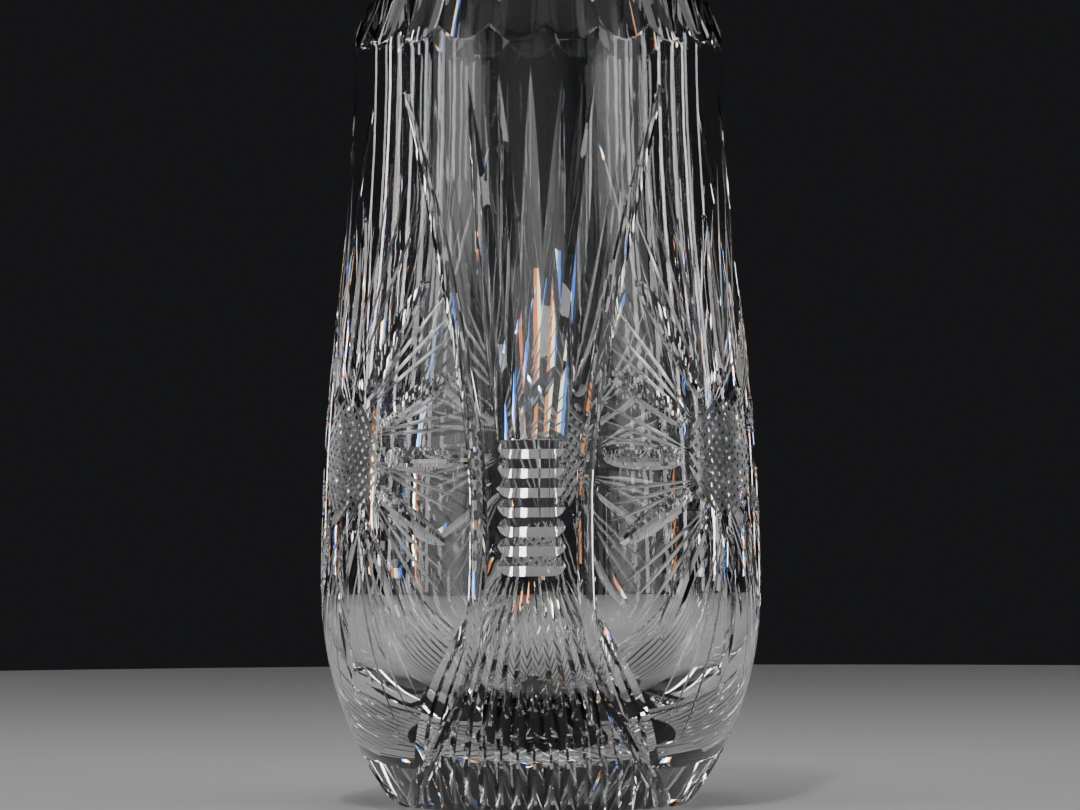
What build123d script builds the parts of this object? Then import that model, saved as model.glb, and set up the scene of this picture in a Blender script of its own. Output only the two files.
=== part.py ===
from build123d import *
import os
from math import acos, asin, atan2, cos, degrees, hypot, radians, sin, sqrt, tan

# A cut crystal vase: one heavy blown blank of clear lead glass, ground flat under its foot and then cut on
# wheels. Three sheaves (a waisted bundle of flutes with a ladder of level steps as its tie) alternate with
# three pinwheel stars. The origin is at the middle of the foot, +Z is up, and the first sheaf faces -Y.
# Lengths are in millimetres, angles in degrees. A flank is half the angle between a groove's two sides.

# Blank
height = 254.0
rim_radius = 58.2
belly_radius = 69.8
belly_z = 68.0
foot_radius = 47.0
upright_below_rim = 9.0
turn_share = 0.52  # where the outside turns from bulging to hollow: 0 is the belly, 1 the upright rim
rim_wall = 10.5
belly_wall = 12.0
floor_thickness = 22.0
well_radius = 34.0  # where the cavity's side meets its dished floor
well_rise = 5.0
foot_bevel = 1.2
lip_bevel = 1.0

# Scallops round the rim's outer edge
scallops = 21
scallop_drop = 14.3
scallop_lean = 24.0
scallop_radius = 32.0
scallop_wheel_width = 86.0

# Sheaf: the two long flutes that frame it
sheaves = 3
waist_z = 95.0
waist_turn = 13.6
frame_top_below_rim = 29.0
frame_top_turn = 44.0
frame_top_curve = 1.65
frame_foot_turn = 57.0
frame_foot_curve = 3.7
frame_depth = 1.6
frame_flank = 60.0
frame_taper = 0.33  # share of the flute's length over which it deepens from its point
frame_stretches = 12  # straight stretches that it is ground in

# Sheaf: blades that fan out above the tie
blades = 5
blade_root_turn = 2.9
blade_tip_turn = 10.0
blade_top_below_rim = 24.0
blade_fall = 1.6  # how much lower each tip is than the one inside it
blade_depth = 1.5
blade_flank = 64.0
blade_taper = 0.6
blade_stretches = 6

# Sheaf: the tie, a ladder of level steps
steps = 7
step_pitch = 6.0
step_length = 23.0
step_depth = 1.5
step_flank = 60.0
tie_top_z = 116.0

# Sheaf: stalks, narrow flutes from the tie down through the foot
stalks = 16
stalk_root_turn = 9.5
stalk_foot_turn = 50.0
stalk_depth = 1.3
stalk_flank = 52.0

# Pinwheel star
star_z = 110.0
star_points = 12
star_reach = 50.0
star_top_below_rim = 46.0
star_bottom_z = 14.0
leaf_root = 21.0
leaf_stretch = 0.55  # share of the star's extra height that its upright leaves take
leaf_depth = 1.9
leaf_flank = 56.0
rays = 3
ray_root = 27.0
ray_gap = 9.0
ray_step = 5.5
ray_depth = 0.9
ray_flank = 42.0

# Star's eye: a round patch of crossed cuts
eye_radius = 17.5
eye_pitch = 4.6
eye_depth = 1.2
eye_flank = 52.0

# Star ground into the underside of the foot
foot_star_points = 24
foot_star_button = 5.0
foot_star_radius = 33.0
foot_star_depth = 1.2
foot_star_flank = 60.0

# How the cutting tools are made
clearance = 1.5  # how far a tool's section stands clear above the glass
stalk_clearance = 3.0
tip_lift = 0.1  # how high above the glass a long flute's tool starts
tip_step = 1.0  # how far along a flute its heading is taken
run_out = 5.0  # how far a cut goes on past the foot where it leaves there
overrun = 0.56  # share of a cut's length that its wheel is made to cover each way from the middle
least_bend = 0.01  # a wheel that bends less than this over its reach is made straight

upright_z = height - upright_below_rim
turn_z = belly_z + turn_share * (upright_z - belly_z)
turn_radius = belly_radius + turn_share * (rim_radius - belly_radius)


def arc_radius(rise, run):
    """Radius of an arc that sets off upright and ends this much further along and across."""
    return (rise**2 + run**2) / (2 * run)


foot_arc = arc_radius(belly_z, belly_radius - foot_radius)
belly_arc = arc_radius(turn_z - belly_z, belly_radius - turn_radius)
neck_arc = arc_radius(upright_z - turn_z, turn_radius - rim_radius)


def outside(z):
    """Radius, slope and bend of the blank's outside at a height. The bend is positive where it bulges."""
    if z >= upright_z:
        return rim_radius, 0.0, 0.0
    if z >= turn_z:
        depth = sqrt(neck_arc**2 - (upright_z - z) ** 2)
        return rim_radius + neck_arc - depth, (z - upright_z) / depth, -1 / neck_arc
    arc = foot_arc if z < belly_z else belly_arc
    depth = sqrt(arc**2 - (z - belly_z) ** 2)
    return belly_radius - arc + depth, (belly_z - z) / depth, 1 / arc


def seat(turn, z):
    """A plane on the outside, turn degrees round from +X: its x goes round, its y up and its z outwards."""
    radius, slope, _ = outside(z)
    out = Vector(cos(radians(turn)), sin(radians(turn)), 0)
    return Plane(out * radius + Vector(0, 0, z), x_dir=(-out.Y, out.X, 0), z_dir=(out.X, out.Y, -slope))


def groove_section(depth, flank, clear):
    """The V that a wheel's edge cuts, across the Y axis, with its point at -depth."""
    half = (depth + clear) * tan(radians(flank))
    return make_face(Polyline((0, 0, -depth), (0, half, clear), (0, -half, clear), close=True))


def wheel_cut(place, surface_bend, length, depth, flank, clear):
    """One pass of a V-edged wheel along the place's X axis: deepest in the middle, with pointed ends."""
    wheel_bend = 8 * depth / length**2 - surface_bend
    reach = overrun * length
    section = groove_section(depth, flank, clear)
    if abs(wheel_bend) * reach < least_bend:
        return place * extrude(section, reach, dir=(1, 0, 0), both=True)
    hub = Axis((0, 0, 1 / wheel_bend - depth), (0, 1, 0))
    sweep_angle = degrees(asin(reach * abs(wheel_bend)))
    return place * revolve(section.rotate(hub, -sweep_angle), hub, 2 * sweep_angle)


def mitre(start, end, depth, flank, clear=clearance):
    """A straight wheel cut between two places on the outside, each a turn and a height."""
    turn, z = (start[0] + end[0]) / 2, (start[1] + end[1]) / 2
    radius, slope, bend = outside(z)
    run = seat(*end).origin - seat(*start).origin
    place = seat(turn, z)
    heading = atan2(run.dot(place.y_dir), run.dot(place.x_dir))
    round_bend = cos(atan2(slope, 1)) / radius
    surface_bend = round_bend * cos(heading) ** 2 + bend * sin(heading) ** 2
    aimed = place * Rot(0, 0, degrees(heading))
    return wheel_cut(aimed, surface_bend, run.length, depth, flank, clear)


def blank():
    """The blown blank: outside, rim, cavity and ground foot."""
    inner_rim = rim_radius - rim_wall
    inner_belly = belly_radius - belly_wall
    inner_turn = inner_belly + turn_share * (inner_rim - inner_belly)
    well = (well_radius, floor_thickness + well_rise)
    outline = Line((0, 0), (foot_radius, 0))
    outline += TangentArc((belly_radius, belly_z), (foot_radius, 0), tangent=(0, -1))
    outline += TangentArc((belly_radius, belly_z), (turn_radius, turn_z), tangent=(0, 1))
    outline += TangentArc((rim_radius, upright_z), (turn_radius, turn_z), tangent=(0, -1))
    outline += Line((rim_radius, upright_z), (rim_radius, height))
    outline += Line((rim_radius, height), (inner_rim, height))
    outline += Line((inner_rim, height), (inner_rim, upright_z))
    outline += TangentArc((inner_rim, upright_z), (inner_turn, turn_z), tangent=(0, -1))
    outline += TangentArc((inner_belly, belly_z), (inner_turn, turn_z), tangent=(0, 1))
    outline += TangentArc((inner_belly, belly_z), well, tangent=(0, -1))
    outline += TangentArc((0, floor_thickness), well, tangent=(1, 0))
    outline += Line((0, floor_thickness), (0, 0))
    turned = revolve(Plane.XZ * make_face(outline), Axis.Z)
    circles = turned.edges().filter_by(GeomType.CIRCLE)
    lip_edge = circles.group_by(Axis.Z)[-1].sort_by(SortBy.RADIUS)[0]
    turned = chamfer(lip_edge, lip_bevel)
    foot_edge = turned.edges().filter_by(GeomType.CIRCLE).group_by(Axis.Z)[0]
    return chamfer(foot_edge, foot_bevel)


def rim_scallops():
    """Shallow scoops off the rim's outer edge, each from a round wheel that leans in over the rim."""
    wheel = Cylinder(scallop_radius, scallop_wheel_width)
    low = Pos(rim_radius, 0, height - scallop_drop) * Rot(0, -scallop_lean, 0)
    scoop = low * Pos(scallop_radius, 0, 0) * wheel
    return [Rot(0, 0, (i + 0.5) * 360 / scallops) * scoop for i in range(scallops)]


def frame_turn(z):
    """How far round from the sheaf's middle a frame flute is at a height."""
    if z > waist_z:
        climb = (z - waist_z) / (height - frame_top_below_rim - waist_z)
        return waist_turn + (frame_top_turn - waist_turn) * climb**frame_top_curve
    return waist_turn + (frame_foot_turn - waist_turn) * ((waist_z - z) / waist_z) ** frame_foot_curve


def long_flute(turn_at, ends, depth, flank, taper, stretches):
    """A flute that follows the glass: pointed at its top, and full depth once past its taper."""
    top_z, bottom_z = ends
    sections = []
    for i in range(stretches + 1):
        share = i / stretches
        z = top_z + share * (bottom_z - top_z)
        reached = (depth + tip_lift) * min(1, share / taper) - tip_lift
        place = seat(turn_at(z), z)
        ahead = seat(turn_at(z - tip_step), z - tip_step).origin - place.origin
        across = Plane(place.origin, x_dir=ahead, z_dir=place.z_dir)
        sections.append(across * groove_section(reached, flank, clearance))
    return loft(sections, ruled=True)


def sheaf_frames():
    """The two long flutes beside the sheaf: close in at its waist and out through the foot."""
    top_z = height - frame_top_below_rim
    tools = []
    for side in (-1, 1):

        def turn_at(z):
            return side * frame_turn(z)

        ends = (top_z, -run_out)
        tools.append(long_flute(turn_at, ends, frame_depth, frame_flank, frame_taper, frame_stretches))
    return tools


def sheaf_blades():
    """Long flutes that fan out from the tie towards the rim."""
    tools = []
    for i in range(blades):
        place = i - (blades - 1) / 2
        top_z = height - blade_top_below_rim - blade_fall * abs(place)

        def turn_at(z):
            climb = (z - tie_top_z) / (top_z - tie_top_z)
            return place * (blade_root_turn + (blade_tip_turn - blade_root_turn) * climb)

        ends = (top_z, tie_top_z)
        tools.append(long_flute(turn_at, ends, blade_depth, blade_flank, blade_taper, blade_stretches))
    return tools


def tie_steps():
    """Level cuts, one above the other, that tie the sheaf."""
    half_turn = degrees(step_length / 2 / belly_radius)
    tools = []
    for i in range(steps):
        z = tie_top_z - (i + 0.5) * step_pitch
        tools.append(mitre((-half_turn, z), (half_turn, z), step_depth, step_flank))
    return tools


def sheaf_stalks():
    """Narrow flutes that spread from the tie and run out through the foot."""
    root_z = tie_top_z - steps * step_pitch
    tools = []
    for i in range(stalks):
        place = 2 * i / (stalks - 1) - 1
        root = (place * stalk_root_turn, root_z)
        foot = (place * stalk_foot_turn, -run_out)
        tools.append(mitre(root, foot, stalk_depth, stalk_flank, stalk_clearance))
    return tools


def star_edge(heading):
    """How far the star reaches in a direction: an oval that is taller than it is wide."""
    rise, run = sin(radians(heading)), cos(radians(heading))
    tall = height - star_top_below_rim - star_z if rise > 0 else star_z - star_bottom_z
    return 1 / hypot(run / star_reach, rise / tall)


def star_place(heading, distance):
    """The turn and height of a place in the star, from its heading and distance from the eye."""
    z = star_z + distance * sin(radians(heading))
    return degrees(distance * cos(radians(heading)) / outside(z)[0]), z


def star_leaves():
    """Broad leaf-shaped cuts that stand round the eye."""
    tools = []
    for i in range(star_points):
        heading = i * 360 / star_points
        tip = star_reach + leaf_stretch * (star_edge(heading) - star_reach)
        tools.append(mitre(star_place(heading, leaf_root), star_place(heading, tip), leaf_depth, leaf_flank))
    return tools


def star_rays():
    """Fine cuts that fan out beside each leaf from its root to the edge of the star, always on one side."""
    tools = []
    for i in range(star_points):
        heading = i * 360 / star_points
        for j in range(rays):
            swing = ray_gap + j * ray_step
            root = star_place(heading - swing / 3, ray_root)
            tip = star_place(heading - swing, star_edge(heading - swing))
            tools.append(mitre(root, tip, ray_depth, ray_flank))
    return tools


def eye_cuts(heading):
    """Parallel cuts across the eye. Two sets that cross leave small diamonds inside a round outline."""
    rows = int(eye_radius / eye_pitch)
    tools = []
    for i in range(-rows, rows + 1):
        swing = degrees(acos(i * eye_pitch / eye_radius))
        first = star_place(heading + 90 + swing, eye_radius)
        last = star_place(heading + 90 - swing, eye_radius)
        tools.append(mitre(first, last, eye_depth, eye_flank))
    return tools


def foot_star():
    """A star of V cuts in the flat underside, round a plain button."""
    length = foot_star_radius - foot_star_button
    middle = (foot_star_radius + foot_star_button) / 2
    spoke = Plane((middle, 0, 0), x_dir=(1, 0, 0), z_dir=(0, 0, -1))
    tool = wheel_cut(spoke, 0, length, foot_star_depth, foot_star_flank, clearance)
    return [Rot(0, 0, i * 360 / foot_star_points) * tool for i in range(foot_star_points)]


def round_the_vase(tools, first_turn):
    """Copies of one panel's tools for every panel like it."""
    return [Rot(0, 0, first_turn + i * 360 / sheaves) * tool for i in range(sheaves) for tool in tools]


sheaf_turn = -90
star_turn = sheaf_turn + 180 / sheaves
blade_tools = sheaf_blades()
vase = blank().cut(*rim_scallops(), *foot_star())
for tools, first_turn in (
    (sheaf_frames(), sheaf_turn),
    (blade_tools[::2], sheaf_turn),
    (blade_tools[1::2], sheaf_turn),
    (tie_steps(), sheaf_turn),
    (sheaf_stalks(), sheaf_turn),
    (star_leaves(), star_turn),
    (star_rays(), star_turn),
    (eye_cuts(45), star_turn),
    (eye_cuts(-45), star_turn),
):
    vase = vase.cut(*round_the_vase(tools, first_turn))

os.makedirs("parts", exist_ok=True)
export_step(vase, "parts/vase_body.step")
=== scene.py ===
import math

import bmesh
import bpy
from mathutils import Matrix, Vector


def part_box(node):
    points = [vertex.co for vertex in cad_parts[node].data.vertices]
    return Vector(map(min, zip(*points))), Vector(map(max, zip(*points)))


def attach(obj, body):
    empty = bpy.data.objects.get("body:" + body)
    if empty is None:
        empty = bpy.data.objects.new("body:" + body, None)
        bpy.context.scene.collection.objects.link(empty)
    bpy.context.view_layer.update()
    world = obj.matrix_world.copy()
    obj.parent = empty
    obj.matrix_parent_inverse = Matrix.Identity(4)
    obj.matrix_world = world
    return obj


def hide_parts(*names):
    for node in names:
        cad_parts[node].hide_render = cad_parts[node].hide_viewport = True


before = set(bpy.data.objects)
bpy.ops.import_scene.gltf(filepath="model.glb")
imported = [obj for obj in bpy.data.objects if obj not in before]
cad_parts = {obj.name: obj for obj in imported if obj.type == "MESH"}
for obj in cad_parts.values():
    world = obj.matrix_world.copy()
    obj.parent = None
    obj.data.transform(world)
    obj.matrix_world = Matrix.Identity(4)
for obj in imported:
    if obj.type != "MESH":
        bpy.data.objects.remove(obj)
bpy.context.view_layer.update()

# The blank
# One heavy gather of clear lead crystal, blown into a mould and annealed. Its foot and rim are then ground
# flat, and everything else on the vase is cut into it. The outside is three arcs that meet without a corner.
foot_corner, top_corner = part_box("vase_body")
height = top_corner[2]
belly_radius = (top_corner[0] - foot_corner[0]) / 2
belly_z = 0.068
rim_radius = 0.0582
foot_radius = 0.047
upright_z = height - 0.009
turn_share = 0.52
rim_wall = 0.0105
belly_wall = 0.012
floor_thickness = 0.022
well_radius = 0.034
well_z = 0.027
foot_bevel = 0.0012
lip_bevel = 0.001
foot_stations = 8
wall_stations = 100
cavity_stations = 34
well_stations = 18
dish_stations = 10
sides_round = 252


def arc_radius(rise, run):
    """Radius of an arc that sets off upright and ends this much further along and across."""
    return (rise**2 + run**2) / (2 * run)


def profile(belly, rim):
    """A function from a height to the radius and slope of the outside or the cavity, from belly to rim."""
    turn_z = belly_z + turn_share * (upright_z - belly_z)
    turn = belly + turn_share * (rim - belly)
    belly_arc = arc_radius(turn_z - belly_z, belly - turn)
    neck_arc = arc_radius(upright_z - turn_z, turn - rim)

    def at(z):
        if z >= upright_z:
            return rim, 0.0
        if z >= turn_z:
            depth = math.sqrt(neck_arc**2 - (upright_z - z) ** 2)
            return rim + neck_arc - depth, (z - upright_z) / depth
        arc = belly_arc if z >= belly_z else arc_radius(belly_z, belly - foot_radius)
        depth = math.sqrt(arc**2 - (z - belly_z) ** 2)
        return belly - arc + depth, (belly_z - z) / depth

    return at


def between(first, last, count):
    """Evenly spaced values, from just after the first to the last."""
    return [first + (last - first) * i / count for i in range(1, count + 1)]


outside = profile(belly_radius, rim_radius)
cavity = profile(belly_radius - belly_wall, rim_radius - rim_wall)
inner_rim = rim_radius - rim_wall
inner_belly = belly_radius - belly_wall
well_arc = arc_radius(belly_z - well_z, inner_belly - well_radius)
dish_arc = arc_radius(well_radius, well_z - floor_thickness)
outline = [(0.0, 0.0)]
outline += [(r, 0.0) for r in between(0, foot_radius - foot_bevel, foot_stations)]
outline += [(outside(z)[0], z) for z in between(0, height, wall_stations) if z > foot_bevel]
outline += [(inner_rim + lip_bevel, height), (inner_rim, height - lip_bevel)]
outline += [(cavity(z)[0], z) for z in between(height - lip_bevel, belly_z, cavity_stations)]
outline += [
    (inner_belly - well_arc + well_arc * math.cos(a), belly_z - well_arc * math.sin(a))
    for a in between(0, math.asin((belly_z - well_z) / well_arc), well_stations)
]
outline += [
    (r, floor_thickness + dish_arc - math.sqrt(dish_arc**2 - r**2))
    for r in between(well_radius, 0, dish_stations)
]

blank = bmesh.new()
points = [blank.verts.new((r, 0, z)) for r, z in outline]
lines = [blank.edges.new(pair) for pair in zip(points, points[1:])]
bmesh.ops.spin(
    blank,
    geom=points + lines,
    axis=(0, 0, 1),
    cent=(0, 0, 0),
    angle=2 * math.pi,
    steps=sides_round,
    use_merge=True,
)
bmesh.ops.remove_doubles(blank, verts=blank.verts, dist=1e-6)
bmesh.ops.recalc_face_normals(blank, faces=blank.faces)


class Wire:
    """A value in a material, so that shader maths is written as sums."""

    def __init__(self, tree, socket):
        self.tree = tree
        self.socket = socket

    def node(self, kind, settings=None, **values):
        made = self.tree.nodes.new(kind)
        for key, value in (settings or {}).items():
            setattr(made, key, value)
        for key, value in values.items():
            name = int(key[1:]) if key[1:].isdigit() else key.replace("_", " ")
            if isinstance(value, Wire):
                self.tree.links.new(value.socket, made.inputs[name])
            else:
                made.inputs[name].default_value = value
        return made

    def sum(self, operation, first, second):
        made = self.node("ShaderNodeMath", {"operation": operation}, i0=first, i1=second)
        return Wire(self.tree, made.outputs[0])

    def __add__(self, other):
        return self.sum("ADD", self, other)

    def __mul__(self, other):
        return self.sum("MULTIPLY", self, other)

    __radd__ = __add__
    __rmul__ = __mul__


glass_tint = (0.985, 0.992, 0.99, 1)
glass_ior = 1.545
wave_scale = 55.0
smear_scale = 400.0
wave_height = 0.0006


def crystal(name, dullness, waviness):
    """Clear lead crystal. Its surface is never quite even, in polish or in shape."""
    material = bpy.data.materials.new(name)
    material.use_nodes = True
    tree = material.node_tree
    tree.nodes.clear()
    place = Wire(tree, tree.nodes.new("ShaderNodeTexCoord").outputs["Object"])
    wave = place.node("ShaderNodeTexNoise", Vector=place, Scale=wave_scale, Detail=1.5, Roughness=0.5)
    smear = place.node("ShaderNodeTexNoise", Vector=place, Scale=smear_scale, Detail=3.0, Roughness=0.6)
    bump = place.node(
        "ShaderNodeBump", Strength=waviness, Distance=wave_height, Height=Wire(tree, wave.outputs["Fac"])
    )
    glass = place.node(
        "ShaderNodeBsdfPrincipled",
        Base_Color=glass_tint,
        Roughness=dullness * (0.3 + Wire(tree, smear.outputs["Fac"])),
        IOR=glass_ior,
        Transmission_Weight=1.0,
        Normal=Wire(tree, bump.outputs["Normal"]),
    )
    output = tree.nodes.new("ShaderNodeOutputMaterial")
    tree.links.new(glass.outputs["BSDF"], output.inputs["Surface"])
    return material


finishes = [crystal("polished_crystal", 0.012, 0.1), crystal("ground_crystal", 0.4, 0.1)]
polished, ground = 0, 1


def finished(name, shape, finish=polished):
    """An object of that name and finish from a bmesh."""
    for face in shape.faces:
        face.material_index = finish
    mesh = bpy.data.meshes.new(name)
    shape.to_mesh(mesh)
    shape.free()
    for material in finishes:
        mesh.materials.append(material)
    piece = bpy.data.objects.new(name, mesh)
    bpy.context.scene.collection.objects.link(piece)
    return piece


vase = finished("cut_crystal_vase", blank)
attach(vase, "root")
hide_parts("vase_body")

# Rim
# The flat-ground rim has its outer edge scooped off all the way round by a broad round wheel that leans in.
# A flatter wheel then takes the sharp edge off below each scoop, which leaves a bright line there.
scallops = 21
scallop_drop = 0.0143
scallop_lean = 24
scallop_radius = 0.032
edge_drop = scallop_drop + 0.0003
edge_lean = 12
edge_radius = 0.168
scallop_wheel_sides = 96
edge_wheel_sides = 720
scallop_wheel_width = 0.08


def grind(piece, name, cuts, finish=polished):
    """Takes the cuts out of the piece and leaves their sides with that finish."""
    wheel = finished(name, cuts, finish)
    taken = piece.modifiers.new(name, "BOOLEAN")
    taken.operation = "DIFFERENCE"
    taken.solver = "MANIFOLD"
    taken.object = wheel
    depsgraph = bpy.context.evaluated_depsgraph_get()
    result = bpy.data.meshes.new_from_object(piece.evaluated_get(depsgraph))
    piece.modifiers.clear()
    piece.data = result
    bpy.data.objects.remove(wheel)


for i in range(scallops):
    turn = Matrix.Rotation(2 * math.pi * (i + 0.5) / scallops, 4, "Z")
    for radius, drop, lean, sides in (
        (scallop_radius, scallop_drop, scallop_lean, scallop_wheel_sides),
        (edge_radius, edge_drop, edge_lean, edge_wheel_sides),
    ):
        low = Matrix.Translation((rim_radius, 0, height - drop)) @ Matrix.Rotation(-math.radians(lean), 4, "Y")
        scoop = bmesh.new()
        bmesh.ops.create_cone(
            scoop,
            cap_ends=True,
            segments=sides,
            radius1=radius,
            radius2=radius,
            depth=scallop_wheel_width,
            matrix=turn @ low @ Matrix.Translation((radius, 0, 0)),
        )
        grind(vase, "scallop_wheel", scoop)

# Sheaf frames
# Two long round flutes stand beside each of the three sheaves. They start in points near the rim, come close
# together at the sheaf's waist and run out through the foot. Each is one pass along a round-edged wheel.
sheaves = 3
waist_z = 0.095
waist_turn = 13.6
frame_top_z = height - 0.026
frame_top_turn = 44.0
frame_foot_turn = 57.0
frame_top_curve = 1.65
frame_foot_curve = 3.7
frame_depth = 0.0016
frame_taper = 0.4
frame_wheel_radius = 0.0034
frame_wheel_height = 0.0030
run_out = 0.005
stations = 20
skim = 0.0001
glance = 0.01


def seat(turn, z):
    """The point of the outside at a turn (in degrees from the front) and a height, and its outward normal."""
    radius, slope = outside(z)
    angle = math.radians(turn - 90)
    across = Vector((math.cos(angle), math.sin(angle), 0))
    return across * radius + Vector((0, 0, z)), (across - Vector((0, 0, slope))).normalized()


def round_edge(radius, tall, steps=10):
    """The edge of a round wheel, up to a height above its lowest point."""
    limit = math.acos(1 - tall / radius)
    angles = [limit * (2 * i / steps - 1) for i in range(steps + 1)]
    return [(radius * math.sin(a), radius * (1 - math.cos(a))) for a in angles]


def bar(edge):
    """A straight bar one metre long with the wheel's edge as its section."""
    shape = bmesh.new()
    ring = [shape.verts.new((0, across, up)) for across, up in edge]
    sides = [shape.edges.new(pair) for pair in zip(ring, ring[1:] + ring[:1])]
    step = (1 / stations, 0, 0)
    bmesh.ops.spin(
        shape, geom=ring + sides, cent=(0, 0, 0), axis=(1, 0, 0), dvec=step, angle=0, steps=stations
    )
    bmesh.ops.holes_fill(shape, edges=shape.edges)
    bmesh.ops.recalc_face_normals(shape, faces=shape.faces)
    mesh = bpy.data.meshes.new("bar")
    shape.to_mesh(mesh)
    shape.free()
    return mesh


def add_pass(cuts, wheel, place_at, depth_at):
    """Bends a bar along the glass and adds it to cuts. place_at gives turn and height from 0 to 1 along it."""
    start = len(cuts.verts)
    cuts.from_mesh(wheel)
    cuts.verts.ensure_lookup_table()
    rings = []
    for i in range(stations + 1):
        s = i / stations
        point, normal = seat(*place_at(s))
        ahead = seat(*place_at(s + glance))[0] - seat(*place_at(s - glance))[0]
        ahead = (ahead - normal * ahead.dot(normal)).normalized()
        rings.append((point - normal * depth_at(s), normal.cross(ahead), normal))
    for vert in cuts.verts[start:]:
        point, side, normal = rings[round(vert.co.x * stations)]
        vert.co = point + side * vert.co.y + normal * vert.co.z


def full_from(depth, share):
    """Depth along a pass that starts in a point and is full from a share of its way."""
    return lambda s: depth - (depth + skim) * max(0, 1 - s / share) ** 2


def round_the_vase(cuts, first_turn):
    """Turns copies of one panel's cuts to every panel like it."""
    panel = bpy.data.meshes.new("panel")
    cuts.to_mesh(panel)
    cuts.clear()
    for i in range(sheaves):
        start = len(cuts.verts)
        cuts.from_mesh(panel)
        cuts.verts.ensure_lookup_table()
        turn = Matrix.Rotation(math.radians(first_turn + i * 360 / sheaves), 3, "Z")
        bmesh.ops.rotate(cuts, verts=cuts.verts[start:], cent=(0, 0, 0), matrix=turn)
    bpy.data.meshes.remove(panel)


def frame_place(side):
    """The way of the frame on one side of a sheaf, from its top to its foot."""

    def at(s):
        z = frame_top_z - s * (frame_top_z + run_out)
        if z > waist_z:
            climb = (z - waist_z) / (frame_top_z - waist_z)
            spread = (frame_top_turn - waist_turn) * climb**frame_top_curve
        else:
            spread = (frame_foot_turn - waist_turn) * ((waist_z - z) / waist_z) ** frame_foot_curve
        return side * (waist_turn + spread), z

    return at


frame_wheel = bar(round_edge(frame_wheel_radius, frame_wheel_height))
cuts = bmesh.new()
for side in (-1, 1):
    add_pass(cuts, frame_wheel, frame_place(side), full_from(frame_depth, frame_taper))
round_the_vase(cuts, 0)
grind(vase, "frame_wheel", cuts)

# Sheaf blades
# Five mitre flutes fan out from the tie towards the rim. Each starts in a point and widens downwards until it
# meets its neighbours, and every other one is ground first.
blades = 5
tie_top_z = 0.116
blade_root_turn = 2.9
blade_tip_turn = 10.0
blade_top_z = height - 0.021
blade_top_fall = 0.0016
blade_depth = 0.0019
blade_taper = 0.7
blade_flank = 64
v_wheel_height = 0.0034


def v_edge(flank, tall):
    """The edge of a V wheel: half width and height above its point, up one side and down the other."""
    half = tall * math.tan(math.radians(flank))
    return [(-half, tall), (0, 0), (half, tall)]


def straight(start, end):
    """The way from one turn and height to another."""
    return lambda s: (start[0] + s * (end[0] - start[0]), start[1] + s * (end[1] - start[1]))


blade_wheel = bar(v_edge(blade_flank, v_wheel_height))
for first in (0, 1):
    cuts = bmesh.new()
    for i in range(first, blades, 2):
        place = i - (blades - 1) / 2
        tip = (place * blade_tip_turn, blade_top_z - blade_top_fall * abs(place))
        root = (place * blade_root_turn, tie_top_z)
        add_pass(cuts, blade_wheel, straight(tip, root), full_from(blade_depth, blade_taper))
    round_the_vase(cuts, 0)
    grind(vase, "blade_wheel", cuts)

# Tie
# Seven level mitre cuts, one right above the other, tie the sheaf at its waist. The wheel drops in and lifts
# out steeply, so their ends are short chevrons.
steps = 7
step_pitch = 0.006
step_half_turn = 8.8
step_depth = 0.0018
step_steepness = 8
step_flank = 60


def plunged(depth, steepness):
    """Depth along a pass that is nearly level between two ends. The steeper, the shorter its ends."""
    return lambda s: depth - (depth + skim) * abs(2 * s - 1) ** steepness


step_wheel = bar(v_edge(step_flank, v_wheel_height))
for first in (0, 1):
    cuts = bmesh.new()
    for i in range(first, steps, 2):
        z = tie_top_z - (i + 0.5) * step_pitch
        ends = (-step_half_turn, z), (step_half_turn, z)
        add_pass(cuts, step_wheel, straight(*ends), plunged(step_depth, step_steepness))
    round_the_vase(cuts, 0)
    grind(vase, "step_wheel", cuts)

# Stalks
# Below the tie the sheaf spreads again in sixteen narrow mitre flutes. They run out through the foot and
# notch its edge.
stalks = 16
stalk_root_turn = 9.5
stalk_foot_turn = 50.0
stalk_depth = 0.0016
stalk_taper = 0.6
stalk_flank = 54

tie_bottom_z = tie_top_z - steps * step_pitch
stalk_wheel = bar(v_edge(stalk_flank, v_wheel_height))
for first in (0, 1):
    cuts = bmesh.new()
    for i in range(first, stalks, 2):
        place = 2 * i / (stalks - 1) - 1
        root = (place * stalk_root_turn, tie_bottom_z)
        foot = (place * stalk_foot_turn, -run_out)
        add_pass(cuts, stalk_wheel, straight(root, foot), full_from(stalk_depth, stalk_taper))
    round_the_vase(cuts, 0)
    grind(vase, "stalk_wheel", cuts)

# Star leaves
# Between the sheaves stand three stars. Twelve leaves, ground on a small round wheel, point away from each
# star's eye. They are broadest near the eye, and the upright ones are the longest.
star_z = 0.110
star_turn = 180 / sheaves
star_points = 12
star_reach = 0.050
star_top_z = height - 0.046
star_bottom_z = 0.014
leaf_root = 0.021
leaf_depth = 0.0021
leaf_share = 0.55
leaf_steepness = 2
leaf_bulge = 0.75
leaf_wheel_radius = 0.0046
leaf_wheel_height = 0.0040


def star_edge(heading):
    """How far the star reaches in a direction: an oval that is taller than it is wide."""
    rise, run = math.sin(math.radians(heading)), math.cos(math.radians(heading))
    tall = star_top_z - star_z if rise > 0 else star_z - star_bottom_z
    return 1 / math.hypot(run / star_reach, rise / tall)


def star_place(heading, distance):
    """The turn and height of a place in the star, from its heading and distance from the eye."""
    z = star_z + distance * math.sin(math.radians(heading))
    return math.degrees(distance * math.cos(math.radians(heading)) / outside(z)[0]), z


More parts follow.
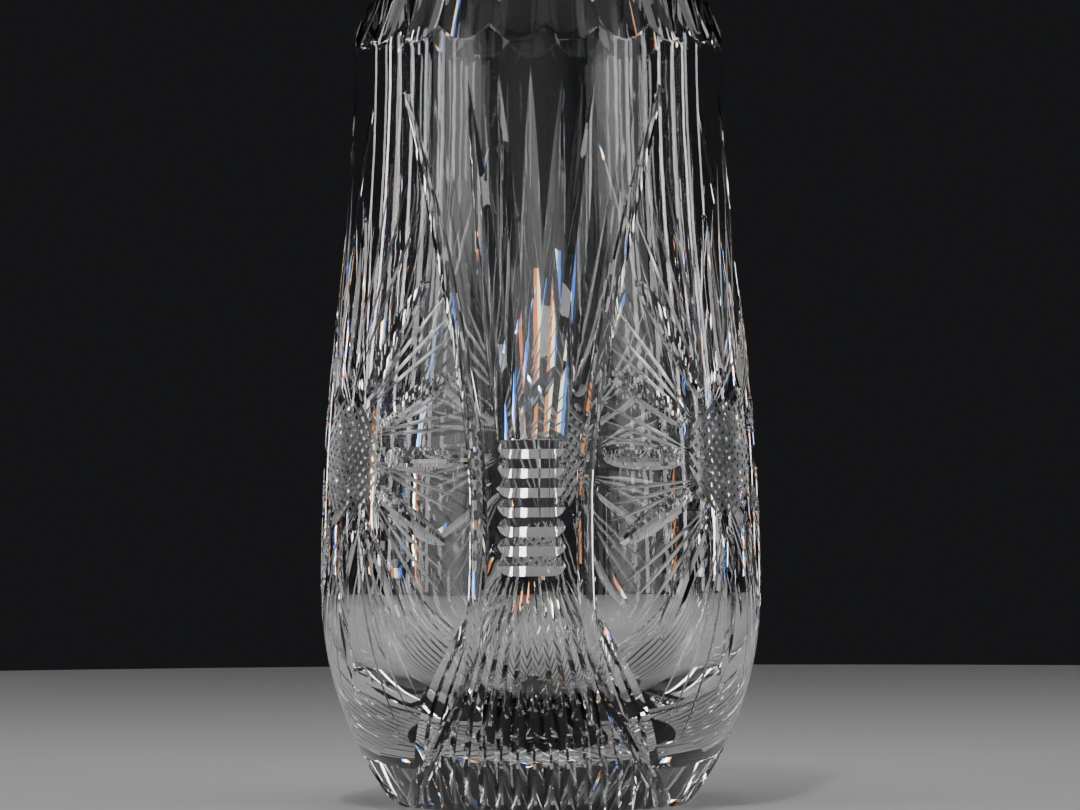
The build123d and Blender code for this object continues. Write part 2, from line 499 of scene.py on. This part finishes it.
leaf_wheel = bar(round_edge(leaf_wheel_radius, leaf_wheel_height))
cuts = bmesh.new()
for i in range(star_points):
    heading = i * 360 / star_points
    tip = star_reach + leaf_share * (star_edge(heading) - star_reach)
    way = straight(star_place(heading, leaf_root), star_place(heading, tip))
    add_pass(cuts, leaf_wheel, way, lambda s: plunged(leaf_depth, leaf_steepness)(s**leaf_bulge))
round_the_vase(cuts, star_turn)
grind(vase, "leaf_wheel", cuts)

# Star rays
# Three fine mitre lines fan out beside every leaf, always on the same side, so that the star looks like a
# pinwheel. They are too fine to take a polish and keep the grey of the stone.
rays = 3
ray_root = 0.018
ray_gap = 8.0
ray_step = 5.5
ray_spread = 3
ray_depth = 0.0007
ray_steepness = 2
ray_flank = 42
ray_wheel_height = 0.0014

ray_wheel = bar(v_edge(ray_flank, ray_wheel_height))
for j in range(rays):
    swing = ray_gap + j * ray_step
    cuts = bmesh.new()
    for i in range(star_points):
        heading = i * 360 / star_points
        root = star_place(heading - swing / ray_spread, ray_root)
        tip = star_place(heading - swing, star_edge(heading - swing))
        add_pass(cuts, ray_wheel, straight(root, tip), plunged(ray_depth, ray_steepness))
    round_the_vase(cuts, star_turn)
    grind(vase, "ray_wheel", cuts, ground)

# Star eyes
# The middle of each star is a round patch of fine mitre lines in two sets that cross. They are left grey, and
# small clear diamonds stand between them.
eye_radius = 0.019
eye_pitch = 0.0027
eye_depth = 0.0008
eye_steepness = 4
eye_flank = 48
eye_wheel_height = 0.0020
eye_headings = (38, -52)

eye_wheel = bar(v_edge(eye_flank, eye_wheel_height))
rows = int(eye_radius / eye_pitch)
for heading in eye_headings:
    cuts = bmesh.new()
    for i in range(-rows, rows + 1):
        swing = math.degrees(math.acos(i * eye_pitch / eye_radius))
        ends = star_place(heading + 90 + swing, eye_radius), star_place(heading + 90 - swing, eye_radius)
        add_pass(cuts, eye_wheel, straight(*ends), plunged(eye_depth, eye_steepness))
    round_the_vase(cuts, star_turn)
    grind(vase, "eye_wheel", cuts, ground)

# Star under the foot
# The flat underside has a star of twenty-four mitre cuts, ground in so that light breaks up under the vase.
# They leave a plain button in the middle and a plain ring to stand on.
foot_star_points = 24
foot_star_button = 0.005
foot_star_radius = 0.033
foot_star_depth = 0.0012
foot_star_steepness = 2
foot_star_flank = 60

spoke = bar(v_edge(foot_star_flank, v_wheel_height))
for first in (0, 1):
    cuts = bmesh.new()
    for i in range(first, foot_star_points, 2):
        start = len(cuts.verts)
        cuts.from_mesh(spoke)
        cuts.verts.ensure_lookup_table()
        for vert in cuts.verts[start:]:
            sunk = plunged(foot_star_depth, foot_star_steepness)(vert.co.x)
            radius = foot_star_button + vert.co.x * (foot_star_radius - foot_star_button)
            vert.co = Vector((radius, -vert.co.y, sunk - vert.co.z))
        turn = Matrix.Rotation(i * 2 * math.pi / foot_star_points, 3, "Z")
        bmesh.ops.rotate(cuts, verts=cuts.verts[start:], cent=(0, 0, 0), matrix=turn)
    grind(vase, "foot_star_wheel", cuts)

# Polish
# An acid bath brightens the deeper cuts and leaves the edges between them crisp. The fine lines are not worked
# over again and stay grey.
crisp_angle = math.radians(13)
speck = 2e-6
shape = bmesh.new()
shape.from_mesh(vase.data)
bmesh.ops.dissolve_degenerate(shape, edges=shape.edges, dist=speck)
bmesh.ops.triangulate(shape, faces=[f for f in shape.faces if len(f.verts) > 4])
for face in shape.faces:
    face.smooth = True
for edge in shape.edges:
    edge.smooth = edge.calc_face_angle(math.pi) < crisp_angle
shape.to_mesh(vase.data)
shape.free()

# Table top
# A plain pale disc for the vase to stand on, painted matt. It belongs to the studio and not to the vase, and
# its top is level with the foot.
table_radius = 1.06
table_paint = (0.66, 0.656, 0.648, 1)
table_roughness = 0.7

disc = bmesh.new()
bmesh.ops.create_circle(disc, cap_ends=True, segments=128, radius=table_radius)
floor_mesh = bpy.data.meshes.new("table_top")
disc.to_mesh(floor_mesh)
disc.free()
floor = bpy.data.objects.new("table_top", floor_mesh)
bpy.context.scene.collection.objects.link(floor)
pale = bpy.data.materials.new("pale_floor")
pale.use_nodes = True
paint = pale.node_tree.nodes["Principled BSDF"]
paint.inputs["Base Color"].default_value = table_paint
paint.inputs["Roughness"].default_value = table_roughness
floor.data.materials.append(pale)

# Lights
# A dark studio with a pale ceiling, soft panels, a row of soft tubes at each side and a small key lamp. At the
# back stand warm, white and cool strips side by side, which the cuts show as coloured glints.
dark_wall = (0.011, 0.0112, 0.0122, 1)
pale_ceiling = (0.16, 0.16, 0.165, 1)
ceiling_edge = 0.35
ceiling_full = 0.9
tubes = 6
tube_distance = 1.5
first_tube_turn = 58
tube_step = 12
strip_size = (0.022, 0.15)

world = bpy.data.worlds.new("studio")
bpy.context.scene.world = world
world.use_nodes = True
world.node_tree.nodes.clear()
tree = world.node_tree
way = Wire(tree, tree.nodes.new("ShaderNodeTexCoord").outputs["Generated"])
up = Wire(tree, way.node("ShaderNodeSeparateXYZ", Vector=way).outputs["Z"])
ceiling = way.node(
    "ShaderNodeMapRange",
    {"interpolation_type": "SMOOTHSTEP"},
    Value=up,
    From_Min=ceiling_edge,
    From_Max=ceiling_full,
)
shade = way.node(
    "ShaderNodeMix",
    {"data_type": "RGBA"},
    i0=Wire(tree, ceiling.outputs["Result"]),
    i6=dark_wall,
    i7=pale_ceiling,
)
studio = way.node("ShaderNodeBackground", Color=Wire(tree, shade.outputs[2]), Strength=1.0)
tree.links.new(studio.outputs["Background"], tree.nodes.new("ShaderNodeOutputWorld").inputs["Surface"])


def softbox(name, place, size, brightness, spread, colour=(1, 1, 1)):
    """A panel of light that faces the vase. Its spread is in degrees."""
    lamp = bpy.data.lights.new(name, "AREA")
    lamp.shape = "RECTANGLE"
    lamp.size, lamp.size_y = size
    lamp.energy = brightness * math.pi * size[0] * size[1]
    lamp.color = colour
    lamp.spread = math.radians(spread)
    light = bpy.data.objects.new(name, lamp)
    bpy.context.scene.collection.objects.link(light)
    light.location = place
    aim = Vector((0, 0, height / 2)) - Vector(place)
    light.rotation_euler = aim.to_track_quat("-Z", "Y").to_euler()
    light.visible_camera = False


softbox("top_softbox", (0.0, -0.2, 1.5), (0.9, 0.6), 0.33, 60)
softbox("key_lamp", (-0.15, -0.77, 1.53), (0.07, 0.25), 14.0, 80)
softbox("front_softbox", (-0.3, -3.0, 1.2), (3.6, 1.6), 0.045, 70)
softbox("left_softbox", (-1.25, -1.0, 0.5), (0.8, 1.4), 0.26, 80)
softbox("right_softbox", (1.3, -0.9, 0.5), (0.7, 1.3), 0.22, 80)
for side in (-1, 1):
    for i in range(tubes):
        angle = math.radians(first_tube_turn + tube_step * i)
        place = (side * tube_distance * math.sin(angle), -tube_distance * math.cos(angle), 0.5)
        softbox(f"side_tube_{i}", place, (0.06, 1.0), 1.1, 80)
for across, strength in ((-0.62, 1.0), (-0.36, 0.15), (0.36, 0.15), (0.62, 1.0)):
    for name, shift, brightness, colour in (
        ("warm", -0.024, 1.4, (1.0, 0.26, 0.03)),
        ("white", 0.0, 2.4, (0.9, 1.0, 0.6)),
        ("cool", 0.024, 1.6, (0.04, 0.24, 1.0)),
    ):
        softbox(f"{name}_strip", (across + shift, 1.15, 0.11), strip_size, strength * brightness, 80, colour)

# Camera
# It stands level with the middle of the vase, two metres off and a little to the right of the front sheaf.
# Its long lens keeps the sides of the vase nearly upright.
camera_distance = 2.0
camera_turn = math.radians(2.3)
camera_roll = math.radians(0.3)
camera_z = 0.1264
light_bounces = 24
lens = bpy.data.cameras.new("camera")
lens.sensor_width = 36
lens.lens = 210
camera = bpy.data.objects.new("camera", lens)
bpy.context.scene.collection.objects.link(camera)
camera.location = (camera_distance * math.sin(camera_turn), -camera_distance * math.cos(camera_turn), camera_z)
camera.rotation_euler = (math.pi / 2, camera_roll, camera_turn)
bpy.context.scene.camera = camera
bpy.context.scene.cycles.max_bounces = light_bounces
bpy.context.scene.cycles.transmission_bounces = light_bounces
